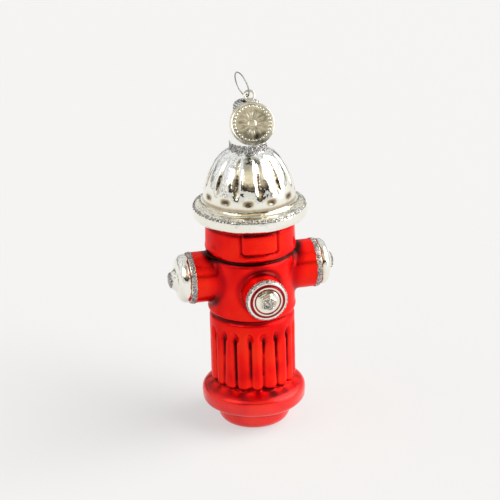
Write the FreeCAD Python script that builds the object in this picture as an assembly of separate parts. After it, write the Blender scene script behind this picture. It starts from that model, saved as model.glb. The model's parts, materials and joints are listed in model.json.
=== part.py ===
import FreeCAD, Part
import math
import os

# Mould-blown glass hanging ornament in the form of a fire hydrant.
# Millimetres. Origin: centre of the foot's resting face. +Z up, -Y is the front nozzle's side.

Vector = FreeCAD.Vector
UP = Vector(0, 0, 1)
REACH = 40              # longer than the part is wide, for cutters
MARGIN = 3              # how far a cutter passes what it cuts

# Driving dimensions -----------------------------------------------------------------
COAT = 0.15             # red lacquer, drawn thicker than real
FILM = 0.15             # silvering inside the glass, drawn thicker than real
WALL = 1.05             # glass of the nozzles, under the lacquer
BARREL_R = 13.85
BELLY_R = 14.45
HOOD_R = 14.7
BRIM_R = 18.9
NECK_R = 6.0
NECK_Z = 97.0           # where the neck leaves the dome
SHOULDER_Z = 105.5      # top of the neck's wide part
STUB_R = 4.48           # narrow glass stub that holds the metal cap
STUB_TOP = 109.6
BORE_R = 3.4
LACQUER_TOP = 72.4      # the lacquer ends under the brim
SILVER_TOP = 95.0       # the silvering ends where the neck begins

FLUTES = 18
FLUTE_OFFSET = 2.0      # azimuth of the first groove
FLUTE_R = 1.4
FLUTE_DEPTH = 0.65
FLUTE_LOW = 17.9
FLUTE_HIGH = 36.2

DOME_LOBES = 12
DOME_GROOVE_R = 0.9
DOME_GROOVE_DEPTH = 0.4
DOME_GROOVE_START = 2.6     # height of the groove's lower end above the dome's foot

PANEL_HALF = 6.4        # half width of the front panel's outline
PANEL_LOW = 64.6
PANEL_HIGH = 72.0
PANEL_CORNER = 2.0
PANEL_GROOVE = 0.4

BAND_WIDTH = 1.4        # glitter band round each nozzle
BAND_HEIGHT = 0.35
NECK_BAND = (NECK_R - 1, 6.8, 96.5, 99.5)       # inner radius, outer radius, low, high
BRIM_BAND = (17.7, BRIM_R - 0.1, 77.6, 78.5)
FLARE = 1.2             # how far a nozzle widens where it leaves the barrel
ROOT = 2.5              # how deep a nozzle's form starts inside the barrel

# name: azimuth, axis height, radius, band's outer edge, cap depth, nut radius, nut length
NOZZLES = {
    "left": (-90, 53.6, 8.5, 21.6, 4.6, 2.9, 1.5),
    "right": (90, 54.3, 8.1, 22.4, 3.9, 2.9, 1.4),
    "front": (0, 51.6, 6.7, 21.8, 1.5, 2.5, 1.2),
}
NUT_SIDES = 5
NUT_SINK = 0.8          # how deep a nut's prism starts inside the nozzle's end
NUT_GLITTER = 0.7       # thickness of the glittered nut end
NUT_POINT = 0.45        # share of the nut's radius left at its pointed end

CAP_R = 4.6
CAP_SHEET = 0.2
CAP_LOW = 105.45
CAP_TOP = 113.1
CAP_ROUND = 1.8
CAP_HOLE_R = 1.2

CLIP_WIRE_R = 0.25
EYE_R = 0.75            # centreline radius of the clip's eye
EYE_Z = 114.5
EYE_AZIMUTH = 2.0       # the ring swings about this direction through the eye
LEG_GAP = 0.45          # half distance of the legs under the eye
LEG_SPREAD = 2.9        # half distance of the legs at their lower end
LEG_STRAIGHT = 0.9      # how far the legs run straight down below the cap's top
LEG_BEND = 0.85         # share of that spread at the bend
LEG_BEND_Z = 105.0
LEG_LOW = 98.5

RING_R = 4.25           # centreline radius
RING_WIRE_R = 0.22
RING_AZIMUTH = 14.0     # the ring's plane holds this direction
RING_LEAN = 15.0        # the ring leans to the left of upright
RING_TIP = -15.0        # how far the ring's centre lies behind the eye
RING_SPLIT = 2.0        # degrees left open where the wire ends meet
RING_SPLIT_AT = 150.0   # degrees along the ring from the clip's eye

TAG_R = 7.3
TAG_THICK = 0.6
TAG_RIM = 0.7
TAG_RELIEF = 0.2
EYELET_R = 1.95
EYELET_HOLE_R = 1.25
EYELET_DISTANCE = 9.5   # from the eyelet's centre to the tag's centre
STEM_HALF = 1.0         # half width of the stem between them
TAG_ON_RING = 43.0      # degrees along the ring from the clip's eye
TAG_FORWARD = 0.15      # the eyelet's centre lies in front of the wire's
TAG_HANG = 0.6          # and below it
TAG_TILT = 34.0         # lower end forward
TAG_AZIMUTH = -9.0
TAG_ROLL = 2.0          # lower end to the right
TAG_BEADS = 24
BEAD_R = 0.38
BEAD_RING_R = 5.85
TAG_RAYS = 12
RAY_START = 1.6
RAY_END = 4.9
RAY_HALF = 0.3
BOSS_R = 1.2


# Outlines and turned forms ----------------------------------------------------------
def flat(x, z):
    return Vector(x, 0, z)


def outline_edges(steps):
    """Edges in the XZ plane. A step is (r, z) for a line or (mid_r, mid_z, r, z) for an arc."""
    edges = []
    here = flat(*steps[0][-2:])
    for step in steps[1:]:
        there = flat(*step[-2:])
        if len(step) == 4:
            edges.append(Part.Arc(here, flat(*step[:2]), there).toShape())
        else:
            edges.append(Part.makeLine(here, there))
        here = there
    return edges


def outward(edge, parameter):
    tangent = edge.tangentAt(parameter)
    return Vector(tangent.z, 0, -tangent.x)


def shifted(steps, grow):
    """The same outline with its surface moved outward by grow."""
    edges = outline_edges(steps)
    starts = [outward(edge, edge.FirstParameter) for edge in edges]
    ends = [outward(edge, edge.LastParameter) for edge in edges]
    before = [starts[0]] + ends
    after = starts + [ends[-1]]
    moved = []
    for index, step in enumerate(steps):
        mitre = (before[index] + after[index]) * (grow / (1 + before[index].dot(after[index])))
        point = flat(step[-2], step[-1]) + mitre
        bend = ()
        if len(step) == 4:
            edge = edges[index - 1]
            middle = outward(edge, edge.Curve.parameter(flat(step[0], step[1])))
            bend = (step[0] + middle.x * grow, step[1] + middle.z * grow)
        moved.append(bend + (max(point.x, 0.0), point.z))
    return moved


def turned(steps, grow=0.0):
    """Solid turned about Z from an outline that starts and ends on Z, its surface moved by grow."""
    steps = shifted(steps, grow)
    closing = Part.makeLine(flat(*steps[-1][-2:]), flat(*steps[0][-2:]))
    face = Part.Face(Part.Wire(outline_edges(steps) + [closing]))
    return face.revolve(Vector(0, 0, 0), UP, 360)


def ring_of(inner_r, outer_r, low, high):
    return Part.makeCylinder(outer_r, high - low, flat(0, low)).cut(
        Part.makeCylinder(inner_r, high - low, flat(0, low)))


def around(shape, count, first=0.0):
    """Copies of shape turned about Z."""
    copies = []
    for index in range(count):
        copy = shape.copy()
        copy.rotate(Vector(0, 0, 0), UP, first + 360.0 * index / count)
        copies.append(copy)
    return copies


def compass(azimuth, height=0.0):
    """Unit direction at an azimuth from the front (-Y), towards +X."""
    angle = math.radians(azimuth)
    return Vector(math.sin(angle), -math.cos(angle), height)


def rod(start, end, radius):
    along = end - start
    return Part.makeCylinder(radius, along.Length, start, along)


# The glass body ---------------------------------------------------------------------
FOOT_TO_BRIM = [
    (0, 0), (9.1, 0), (11.1, 0.8, 11.9, 2.8), (12.0, 6.7), (15.6, 7.5),
    (16.7, 8.1, 17.1, 9.4), (17.3, 11.0, 17.1, 12.6), (16.9, 13.5, 16.0, 14.1), (14.4, 15.6),
    (BARREL_R, 16.5), (BARREL_R, 37.0), (14.2, 37.6), (14.2, 39.2), (13.6, 39.9), (13.6, 40.8),
    (14.25, 41.6, BELLY_R, 43.0), (BELLY_R, 59.8), (14.3, 60.8, 13.8, 61.4), (13.8, 61.9),
    (14.75, 62.6, 14.9, 64.0), (HOOD_R, 71.6), (14.3, 72.4), (18.0, 74.0),
]
DOME_LOW = (15.3, 80.4)
DOME_MID = (12.3, 91.2)
DOME_TOP = (NECK_R, NECK_Z)
DOME_BENDS = ((14.35, 86.4), (9.8, 94.6))
BRIM_TO_STUB = [
    (BRIM_R - 0.1, 74.7, BRIM_R, 75.6), (18.75, 77.5), (18.0, 78.3), (17.3, 78.6),
    (15.9, 79.1) + DOME_LOW, DOME_BENDS[0] + DOME_MID, DOME_BENDS[1] + DOME_TOP,
    (NECK_R, 104.9), (STUB_R, SHOULDER_Z), (STUB_R, STUB_TOP), (0, STUB_TOP),
]
OUTSIDE = FOOT_TO_BRIM + BRIM_TO_STUB
CAVITY = [
    (0, 1.3), (8.8, 1.3), (10.2, 1.9, 10.6, 3.2), (10.6, 8.0), (15.2, 9.6), (15.6, 12.4),
    (12.3, 16.4), (12.3, 40.6), (13.1, 43.0), (13.1, 71.9), (17.2, 75.2), (17.1, 76.5), (14.0, 79.6),
    (12.9, 85.7, 11.2, 90.2), (8.9, 93.2, 4.8, 95.4), (4.8, 104.2), (BORE_R, 105.0),
    (BORE_R, STUB_TOP + 1), (0, STUB_TOP + 1),
]


def to_nozzle(shape, azimuth, axis_z):
    """Move a form turned about Z on to a nozzle's axis."""
    shape.rotate(Vector(0, 0, 0), Vector(1, 0, 0), 90)
    shape.rotate(Vector(0, 0, 0), UP, azimuth)
    shape.translate(Vector(0, 0, axis_z))
    return shape


def nozzle_form(name, grow):
    """Neck, domed end and nut of a nozzle, without its glitter."""
    azimuth, axis_z, radius, edge, depth, nut_r, nut_length = NOZZLES[name]
    root = BARREL_R - ROOT
    steps = [(0, 0), (radius + FLARE, 0), (radius + FLARE, root), (radius + 0.35 * FLARE, root + 2.2,
             radius, edge - 5.2), (radius, edge), (radius - 0.4, edge + 0.38 * depth,
             0.75 * radius, edge + 0.82 * depth), (nut_r + 0.6, edge + depth), (0, edge + depth)]
    form = turned(steps, grow)
    nut = nut_prism(nut_r + grow, edge + depth - NUT_SINK, nut_length + NUT_SINK)
    return to_nozzle(form.fuse(nut), azimuth, axis_z)


def nut_prism(radius, low, length):
    corners = [Vector(radius * math.cos(2 * math.pi * k / NUT_SIDES),
                      radius * math.sin(2 * math.pi * k / NUT_SIDES), low)
               for k in range(NUT_SIDES + 1)]
    return Part.Face(Part.makePolygon(corners)).extrude(Vector(0, 0, length))


def flute_cutters(grow):
    radius = FLUTE_R - grow
    reach = BARREL_R + FLUTE_R - FLUTE_DEPTH
    low = Vector(0, -reach, FLUTE_LOW)
    high = Vector(0, -reach, FLUTE_HIGH)
    cutter = rod(low, high, radius).fuse([Part.makeSphere(radius, low), Part.makeSphere(radius, high)])
    return around(cutter, FLUTES, FLUTE_OFFSET)


def dome_cutters(grow):
    """Rounded grooves that run up the dome between its lobes."""
    out = DOME_GROOVE_R - DOME_GROOVE_DEPTH
    low, bend_low, middle, bend_high, top = [
        Vector(point[0] + out * lean, 0, point[1] + out * (1 - lean))
        for point, lean in zip((DOME_LOW, DOME_BENDS[0], DOME_MID, DOME_BENDS[1], DOME_TOP),
                               (1.0, 1.0, 0.8, 0.6, 0.4))]
    low.z += DOME_GROOVE_START
    path = Part.Wire([Part.Arc(low, Vector(bend_low.x, 0, bend_low.z + 1.0), middle).toShape(),
                      Part.Arc(middle, bend_high, top).toShape()])
    start = path.Edges[0]
    circle = Part.Wire(Part.makeCircle(DOME_GROOVE_R - grow, start.valueAt(start.FirstParameter),
                                       start.tangentAt(start.FirstParameter)))
    groove = path.makePipeShell([circle], True, False, 2)
    cutter = groove.fuse(Part.makeSphere(DOME_GROOVE_R - grow, low))
    return around(cutter, DOME_LOBES)


def panel_cutter(grow):
    """Thin groove that outlines the front panel under the brim."""
    def plate(inset):
        half = PANEL_HALF - inset
        low = PANEL_LOW + inset
        corner = PANEL_CORNER - inset
        block = Part.makeBox(2 * half, REACH, PANEL_HIGH - inset - low, Vector(-half, -REACH, low))
        rounded = [edge for edge in block.Edges
                   if edge.BoundBox.YLength > REACH / 2 and edge.BoundBox.ZMax < low + 0.01]
        return block.makeFillet(corner, rounded)
    frame = plate(grow).cut(plate(PANEL_GROOVE - grow))
    return frame.cut(Part.makeCylinder(HOOD_R - PANEL_GROOVE + grow, REACH, flat(0, PANEL_LOW - MARGIN)))


def outer_form(grow):
    """The whole blown form as one solid, its surface moved by grow."""
    form = turned(OUTSIDE, grow)
    form = form.cut(flute_cutters(grow)).cut(dome_cutters(grow)).cut(panel_cutter(grow))
    return form.fuse([nozzle_form(name, grow) for name in NOZZLES])


def cavity_form(grow):
    """The hollow inside the glass."""
    wall = COAT + WALL
    form = turned(CAVITY, grow)
    for azimuth, axis_z, radius, edge, depth, nut_r, _ in NOZZLES.values():
        steps = [(0, 0), (radius - wall, 0), (radius - wall, edge), (0.7 * radius, edge + 0.3 * depth),
                 (nut_r, edge + depth - wall), (0, edge + depth - wall)]
        form = form.fuse(to_nozzle(turned(steps, grow), azimuth, axis_z))
    return form


def red_zone():
    """Everything under the brim, less the nozzle ends beyond their glitter bands."""
    zone = Part.makeCylinder(REACH, LACQUER_TOP + MARGIN, flat(0, -MARGIN))
    for azimuth, axis_z, radius, edge, *_ in NOZZLES.values():
        end = Part.makeCylinder(radius + MARGIN, REACH, flat(0, edge - BAND_WIDTH))
        zone = zone.cut(to_nozzle(end, azimuth, axis_z))
    return zone


# Glitter ----------------------------------------------------------------------------
def nozzle_band(name, glass):
    azimuth, axis_z, radius, edge, *_ = NOZZLES[name]
    ring = ring_of(radius - 1, radius + BAND_HEIGHT, edge - BAND_WIDTH, edge + BAND_HEIGHT)
    return to_nozzle(ring, azimuth, axis_z).cut(glass)


def nut_glitter(name, glass):
    """Pointed glittered end of a nozzle's nut."""
    azimuth, axis_z, _, edge, depth, nut_r, nut_length = NOZZLES[name]
    low = edge + depth + nut_length - COAT
    end = nut_prism(nut_r, low, NUT_GLITTER)
    cone = Part.makeCone(nut_r, NUT_POINT * nut_r, NUT_GLITTER, flat(0, low))
    return to_nozzle(end.common(cone), azimuth, axis_z).cut(glass)


# Hanging hardware -------------------------------------------------------------------
def clip_eye():
    """The direction through the clip's eye, the direction across it, and its centre."""
    return compass(EYE_AZIMUTH), compass(EYE_AZIMUTH + 90), Vector(0, 0, EYE_Z)


def hanger_cap():
    inner = CAP_R - CAP_SHEET
    bend = CAP_ROUND * (1 - math.sqrt(0.5))
    inside = (CAP_ROUND - CAP_SHEET) * (1 - math.sqrt(0.5))
    steps = [(CAP_R, CAP_LOW), (CAP_R, CAP_TOP - CAP_ROUND),
             (CAP_R - bend, CAP_TOP - bend, CAP_R - CAP_ROUND, CAP_TOP), (CAP_HOLE_R, CAP_TOP),
             (CAP_HOLE_R, CAP_TOP - CAP_SHEET), (CAP_R - CAP_ROUND, CAP_TOP - CAP_SHEET),
             (inner - inside, CAP_TOP - CAP_SHEET - inside, inner, CAP_TOP - CAP_ROUND),
             (inner, CAP_LOW), (CAP_R, CAP_LOW)]
    return Part.Face(Part.Wire(outline_edges(steps))).revolve(Vector(0, 0, 0), UP, 360)


def spring_clip():
    """Wire bent to an eye above the cap, with two legs that spread inside the neck."""
    front, side, eye = clip_eye()
    drop = math.sqrt(EYE_R ** 2 - LEG_GAP ** 2)
    half_open = math.degrees(math.asin(LEG_GAP / EYE_R))
    start = eye + side * LEG_GAP - UP * drop
    section = Part.Face(Part.Wire(Part.makeCircle(CLIP_WIRE_R, start, side * drop + UP * LEG_GAP)))
    loop = section.revolve(eye, front, -(360 - 2 * half_open))
    pieces = []
    for sign in (-1, 1):
        points = [eye + side * (sign * LEG_GAP) - UP * drop,
                  Vector(side * (sign * LEG_GAP)) + UP * (CAP_TOP - LEG_STRAIGHT),
                  Vector(side * (sign * LEG_SPREAD * LEG_BEND)) + UP * LEG_BEND_Z,
                  Vector(side * (sign * LEG_SPREAD)) + UP * LEG_LOW]
        pieces += [rod(a, b, CLIP_WIRE_R) for a, b in zip(points, points[1:])]
        pieces += [Part.makeSphere(CLIP_WIRE_R, point) for point in points]
    return loop.fuse(pieces)


def ring_directions():
    """The ring's centre, its direction from the eye to the centre, and the wire's at the eye."""
    front = compass(RING_AZIMUTH)
    side = compass(RING_AZIMUTH + 90)
    lean = math.radians(RING_LEAN)
    tip = math.radians(RING_TIP)
    rise = UP * math.cos(lean) - side * math.sin(lean)
    inward = rise * math.cos(tip) + front * math.sin(tip)
    along = front * math.cos(tip) - rise * math.sin(tip)
    return Vector(0, 0, EYE_Z) + inward * RING_R, inward, along


def ring_point(turn):
    """A point on the ring's centreline, turn degrees forward from the eye."""
    centre, inward, along = ring_directions()
    angle = math.radians(turn)
    return centre - inward * (RING_R * math.cos(angle)) + along * (RING_R * math.sin(angle))


def hang_ring():
    centre, inward, along = ring_directions()
    start = ring_point(RING_SPLIT_AT)
    tangent = inward.cross(along)
    section = Part.Face(Part.Wire(Part.makeCircle(RING_WIRE_R, start, (start - centre).cross(tangent))))
    return section.revolve(centre, tangent, 360 - RING_SPLIT)


def tag_frame():
    """The eyelet's centre, the tag's face direction and its downward direction."""
    tilt = math.radians(TAG_TILT)
    roll = math.radians(TAG_ROLL)
    facing = compass(TAG_AZIMUTH)
    right = compass(TAG_AZIMUTH + 90)
    normal = facing * math.cos(tilt) + UP * math.sin(tilt)
    down = facing * math.sin(tilt) - UP * math.cos(tilt)
    down = down * math.cos(roll) + right * math.sin(roll)
    eyelet = ring_point(TAG_ON_RING) + facing * TAG_FORWARD + down * TAG_HANG
    return eyelet, normal, down


def medallion():
    """Round tag with a rim, a ring of beads and a plain sunburst, struck alike on both faces."""
    disc = Part.makeCylinder(TAG_R, TAG_THICK, flat(0, -TAG_THICK / 2))
    full = TAG_THICK / 2 + TAG_RELIEF
    rim = ring_of(TAG_R - TAG_RIM, TAG_R, -full, full)
    eyelet = Part.makeCylinder(EYELET_R, TAG_THICK, Vector(-EYELET_DISTANCE, 0, -TAG_THICK / 2))
    stem = Part.makeBox(EYELET_DISTANCE - TAG_R + 1, 2 * STEM_HALF, TAG_THICK,
                        Vector(-EYELET_DISTANCE, -STEM_HALF, -TAG_THICK / 2))
    bead = Part.makeSphere(BEAD_R, Vector(BEAD_RING_R, 0, 0))
    root = Vector(RAY_START, -RAY_HALF, -full)
    ray_face = Part.makePolygon([root, Vector(RAY_END, 0, -full), Vector(RAY_START, RAY_HALF, -full), root])
    ray = Part.Face(ray_face).extrude(Vector(0, 0, 2 * full))
    boss = Part.makeCylinder(BOSS_R, 2 * full, flat(0, -full))
    relief = around(bead, TAG_BEADS) + around(ray, TAG_RAYS, 180.0 / TAG_BEADS)
    tag = disc.fuse([rim, eyelet, stem, boss] + relief)
    tag = tag.cut(Part.makeCylinder(EYELET_HOLE_R, REACH, Vector(-EYELET_DISTANCE, 0, -REACH / 2)))
    centre, normal, down = tag_frame()
    across = normal.cross(down)
    place = FreeCAD.Matrix(down.x, across.x, normal.x, 0, down.y, across.y, normal.y, 0,
                           down.z, across.z, normal.z, 0, 0, 0, 0, 1)
    tag.Placement = FreeCAD.Placement(place)
    tag.translate(centre + down * EYELET_DISTANCE)
    return tag


# Every node -------------------------------------------------------------------------
def build():
    glass_form = outer_form(-COAT)
    cavity = cavity_form(0)
    glass = glass_form.cut(cavity)
    below_neck = Part.makeCylinder(REACH, SILVER_TOP, flat(0, 0))
    nodes = {
        "glass_shell": glass,
        "red_lacquer": outer_form(0).cut(glass_form).common(red_zone()),
        "silver_lining": cavity.cut(cavity_form(-FILM)).common(below_neck),
        "neck_glitter_band": ring_of(*NECK_BAND).cut(glass),
        "brim_glitter_band": ring_of(*BRIM_BAND).cut(glass),
        "hanger_cap": hanger_cap(),
        "spring_clip": spring_clip(),
        "hang_ring": hang_ring(),
        "medallion": medallion(),
    }
    for name in NOZZLES:
        nodes[name + "_nozzle_glitter_band"] = nozzle_band(name, glass_form)
        nodes[name + "_nut_glitter"] = nut_glitter(name, glass_form)
    return nodes


os.makedirs("parts", exist_ok=True)
for node, shape in build().items():
    solids = shape.Solids
    print(node, len(solids), "solids, valid" if shape.isValid() else "solids, NOT valid",
          round(shape.Volume, 2))
    body = solids[0] if len(solids) == 1 else Part.makeCompound(solids)
    body.exportStep("parts/" + node + ".step")
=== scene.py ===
import json
import math

import bmesh
import bpy
import numpy as np
from mathutils import Matrix, Vector


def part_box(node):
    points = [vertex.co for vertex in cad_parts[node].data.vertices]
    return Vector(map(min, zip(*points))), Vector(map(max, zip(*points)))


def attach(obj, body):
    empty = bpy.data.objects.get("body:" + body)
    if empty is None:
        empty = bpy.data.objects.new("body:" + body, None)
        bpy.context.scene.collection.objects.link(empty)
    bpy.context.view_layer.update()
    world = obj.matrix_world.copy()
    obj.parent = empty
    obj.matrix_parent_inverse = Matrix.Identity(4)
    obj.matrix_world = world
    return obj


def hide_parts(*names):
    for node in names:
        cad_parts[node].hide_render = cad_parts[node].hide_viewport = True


# A blown-glass hydrant ornament. The glass is one distance field in millimetres, meshed and then
# split where the paint changes. The glitter is real grains, and the hardware is built piece by piece.

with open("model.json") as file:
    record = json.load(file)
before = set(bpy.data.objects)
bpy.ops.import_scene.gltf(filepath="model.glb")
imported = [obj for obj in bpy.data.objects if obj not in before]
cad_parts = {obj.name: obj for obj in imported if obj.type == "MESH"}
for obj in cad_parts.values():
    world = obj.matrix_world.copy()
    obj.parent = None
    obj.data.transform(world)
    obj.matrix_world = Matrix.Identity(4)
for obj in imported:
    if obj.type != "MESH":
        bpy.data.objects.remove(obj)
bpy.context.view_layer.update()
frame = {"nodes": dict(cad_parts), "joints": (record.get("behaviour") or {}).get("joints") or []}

MM = 0.001
SEED = 11
NET_STEP = 0.42                  # cell size of the glass mesh
GLASS_WALL = 0.9
COAT_WALL = 0.3
SOFTNESS = 0.4                   # how far blown glass rounds its corners
NOZZLE_FILLET = 1.5
NOZZLE_START = 8                 # a nozzle's outline starts here, inside the barrel
SHORT_END = 4                    # a nozzle end shorter than this is a flat face with rings
NUT_SIDES = 5
NUT_TURN = 0.35                  # radians that a nut's sides are turned by
FLUTES = 18
FLUTE_AZIMUTH = 2.0
FLUTE_DEPTH = 1.7
HOLLOW_DEPTH = 1.3               # the rounded hollow at a flute's upper end
DOME_LOBES = 12
LOBE_DEPTH = 1.15
DIMPLE_DEPTH = 0.34
GRAIN_SIZE = 0.34
GRAIN_SPACING = 0.17
GRAIN_TILT = 0.38                # how unevenly the grains lie
GRAIN_THICKNESS = 0.28           # as a share of the grain size
GLITTER_RISE = 0.35              # how far a nozzle's glitter stands off the glass
CAP_COLUMNS = 220
CAP_SHEET = 0.16
PEBBLE_HEIGHT = 0.25
PEBBLE_SINK = 0.17               # how far the ground between the pebbles lies below the CAD surface
PEBBLE_R = 0.46
PEBBLE_ROWS = 6
SKIRT = 3.7                      # length of the cap's plain skirt along its outline
TAG_R = 7.3
TAG_HALF = 0.3                   # half the tag's thickness
TAG_DROP = 9.5                   # from the eyelet's centre to the disc's
TAG_COLUMNS = 300
TAG_BEADS = 30
TAG_PETALS = 12
BACK_RELIEF = 0.25               # the back's relief, as a share of the front's
TENT_LIGHT = 0.5                 # how much the tent lights
TENT_SEEN = 0.88                 # how bright it is in mirror reflections
WALL_LIGHT = (3.0, 3.0, 3.0)     # the tent's left wall, lit from outside
WALL_SEEN = (1.1, 1.1, 1.1)
PANEL_LIGHT = (15.0, 14.7, 14.2)
PANEL_SEEN = (4.2, 4.1, 3.9)
LAMP_LIGHT = (2.4, 2.4, 2.4)
FOLD_SHADE = (0.28, 0.27, 0.25)
FLOOR_HALF = 6.0                 # metres
FLOOR_GLOW = 0.535               # what the floor adds of its own to what the camera and mirrors see
# Sockets of Blender's colour mix node
MIX_FACTOR, MIX_BELOW, MIX_ABOVE, MIX_RESULT = 0, 6, 7, 2


# Places taken from the frame --------------------------------------------------------
def span(node):
    """Lowest and highest corner of a CAD node in millimetres."""
    low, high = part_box(node)
    return np.array(low) / MM, np.array(high) / MM


def read_nozzle(name, direction):
    """Axis, radius and reaches of a nozzle from its two glitter nodes."""
    direction = np.array(direction, float)
    low, high = span(name + "_nozzle_glitter_band")
    nut_low, nut_high = span(name + "_nut_glitter")
    reaches = sorted(abs(v) for v in (low @ direction, high @ direction))
    tips = sorted(abs(v) for v in (nut_low @ direction, nut_high @ direction))
    return {
        "direction": direction,
        "axis_z": (low[2] + high[2]) / 2,
        "radius": (high[2] - low[2]) / 2 - GLITTER_RISE,
        "band_start": reaches[0],
        "edge": reaches[1] - GLITTER_RISE,
        "nut_end": tips[0],
        "tip": tips[1],
        "nut_r": (nut_high[2] - nut_low[2]) / 2,
    }


NOZZLES = {
    "left": read_nozzle("left", (-1, 0, 0)),
    "right": read_nozzle("right", (1, 0, 0)),
    "front": read_nozzle("front", (0, -1, 0)),
}
BRIM_R = span("brim_glitter_band")[1][0] + 0.1
BRIM_BAND_Z = span("brim_glitter_band")[0][2], span("brim_glitter_band")[1][2]
NECK_BAND_Z = span("neck_glitter_band")[0][2], span("neck_glitter_band")[1][2]
NECK_R = span("neck_glitter_band")[1][0] - 0.8
LACQUER_TOP = span("red_lacquer")[1][2]
STUB_TOP = span("glass_shell")[1][2]
CAP_LOW, CAP_TOP = span("hanger_cap")[0][2], span("hanger_cap")[1][2]
CAP_R = span("hanger_cap")[1][0]


# Outlines ---------------------------------------------------------------------------
def arc_points(start, middle, end, count=14):
    """Points on the circle arc through three points, without the first one."""
    start, middle, end = (np.array(p, float) for p in (start, middle, end))
    a, b = middle - start, end - start
    cross = 2 * (a[0] * b[1] - a[1] * b[0])
    centre = start + np.array([b[1] * (a @ a) - a[1] * (b @ b), a[0] * (b @ b) - b[0] * (a @ a)]) / cross
    angles = [math.atan2(*(p - centre)[::-1]) for p in (start, middle, end)]
    sweep = (angles[2] - angles[0]) % (2 * math.pi)
    if (angles[1] - angles[0]) % (2 * math.pi) > sweep:
        sweep -= 2 * math.pi
    turn = angles[0] + sweep * np.arange(1, count + 1) / count
    radius = np.linalg.norm(start - centre)
    return centre + radius * np.stack([np.cos(turn), np.sin(turn)], 1)


def outline_points(steps):
    """A step is (r, z) for a line or (mid_r, mid_z, r, z) for an arc."""
    points = [np.array([steps[0]], float)]
    for step in steps[1:]:
        here = points[-1][-1]
        if len(step) == 4:
            points.append(arc_points(here, step[:2], step[2:]))
        else:
            points.append(np.array([step], float))
    return np.concatenate(points)


def softened(points, sigma, spacing=0.2):
    """The outline resampled evenly, with its corners rounded."""
    lengths = np.concatenate([[0], np.cumsum(np.linalg.norm(np.diff(points, axis=0), axis=1))])
    even = np.linspace(0, lengths[-1], int(lengths[-1] / spacing) + 2)
    line = np.stack([np.interp(even, lengths, points[:, k]) for k in range(2)], 1)
    reach = int(3 * sigma / spacing) + 1
    kernel = np.exp(-0.5 * (np.arange(-reach, reach + 1) * spacing / sigma) ** 2)
    mirrored = np.array([-1.0, 1.0])
    before = line[1:reach + 1][::-1] * mirrored
    after = line[-reach - 1:-1][::-1] * mirrored
    padded = np.concatenate([before, line, after])
    return np.stack([np.convolve(padded[:, k], kernel / kernel.sum(), "valid") for k in range(2)], 1)


class Turned:
    """Distance to a solid turned from a soft outline that starts and ends on its axis."""

    def __init__(self, steps, sigma=SOFTNESS, cell=0.2, margin=3.0):
        line = softened(outline_points(steps), sigma)
        self.low = np.array([0.0, line[:, 1].min() - margin])
        high = np.array([line[:, 0].max() + margin, line[:, 1].max() + margin])
        self.cell = cell
        shape = np.ceil((high - self.low) / cell).astype(int) + 2
        r, z = np.meshgrid(self.low[0] + cell * np.arange(shape[0]),
                           self.low[1] + cell * np.arange(shape[1]), indexing="ij")
        nearest = np.full(r.shape, 1e9)
        inside = np.zeros(r.shape, bool)
        for (ar, az), (br, bz) in zip(line[:-1], line[1:]):
            dr, dz = br - ar, bz - az
            share = np.clip(((r - ar) * dr + (z - az) * dz) / (dr * dr + dz * dz + 1e-12), 0, 1)
            nearest = np.minimum(nearest, (r - ar - share * dr) ** 2 + (z - az - share * dz) ** 2)
            crosses = (az > z) != (bz > z)
            edge_r = ar + dr * (z - az) / (dz if abs(dz) > 1e-12 else 1e-12)
            inside ^= crosses & (r < edge_r)
        self.table = np.where(inside, -1, 1) * np.sqrt(nearest)

    def __call__(self, r, z):
        limit = np.array(self.table.shape) - 1.001
        fr = np.clip((r - self.low[0]) / self.cell, 0, limit[0])
        fz = np.clip((z - self.low[1]) / self.cell, 0, limit[1])
        i, j = fr.astype(int), fz.astype(int)
        fr, fz = fr - i, fz - j
        t = self.table
        return ((t[i, j] * (1 - fr) + t[i + 1, j] * fr) * (1 - fz)
                + (t[i, j + 1] * (1 - fr) + t[i + 1, j + 1] * fr) * fz)


BODY_OUTLINE = [
    (0, 0), (9.3, 0), (11.3, 0.9, 12.1, 3.4), (12.2, 6.4), (15.9, 7.2),
    (17.1, 7.9, 17.45, 9.6), (17.55, 11.4, 17.2, 12.8), (16.3, 13.7), (14.4, 14.8), (13.6, 15.3),
    (14.35, 16.4), (14.35, 36.8), (14.3, 39.2), (13.55, 40.0), (13.55, 40.7),
    (14.4, 41.2, 14.55, 43.2), (14.55, 59.8), (14.2, 60.8), (13.3, 61.4), (13.3, 62.0),
    (14.9, 62.6, 15.05, 64.6), (14.85, 71.3), (14.3, 72.0), (14.7, 72.6), (18.2, 73.9),
    (BRIM_R + 0.1, 74.8, BRIM_R, 75.9), (18.75, 77.5), (18.2, 78.3), (17.2, 78.6),
    (15.9, 79.1, 15.3, 80.4), (14.35, 86.4, 12.3, 91.2), (9.8, 94.6, NECK_R, 97.0),
    (NECK_R, 104.9), (4.4, 105.3), (4.33, STUB_TOP), (0, STUB_TOP),
]
FLUTE_LOW = 15.4
FLUTE_HIGH = 35.4
DOME_LOW = 81.6
DOME_HIGH = 97.0
PANEL_LOW = 64.6
PANEL_HIGH = 72.1
PANEL_AZIMUTH = -1.0
PANEL_HALF = 6.5
PANEL_R = 14.75                  # radius that the pane's width is measured on
PANEL_TUCK = 2                   # how far the pane runs on under the brim
BARREL_TOP = 40
BRIM_TOP = 78
PANEL_ZONE = 62, 76
BORE_R = 3.4
BORE_LOW = 92


def smooth_step(value, low, high):
    t = np.clip((value - low) / (high - low), 0, 1)
    return t * t * (3 - 2 * t)


def soft_min(a, b, width):
    h = np.clip(width - np.abs(a - b), 0, None) / width
    return np.minimum(a, b) - h * h * width * 0.25


def cusp(share):
    """0 on a lobe's crest and 1 in the groove between two lobes; share is 0 in the groove."""
    return 1 - np.sqrt(np.clip(1 - 0.97 * (1 - share) ** 2, 0, 1))


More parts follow.
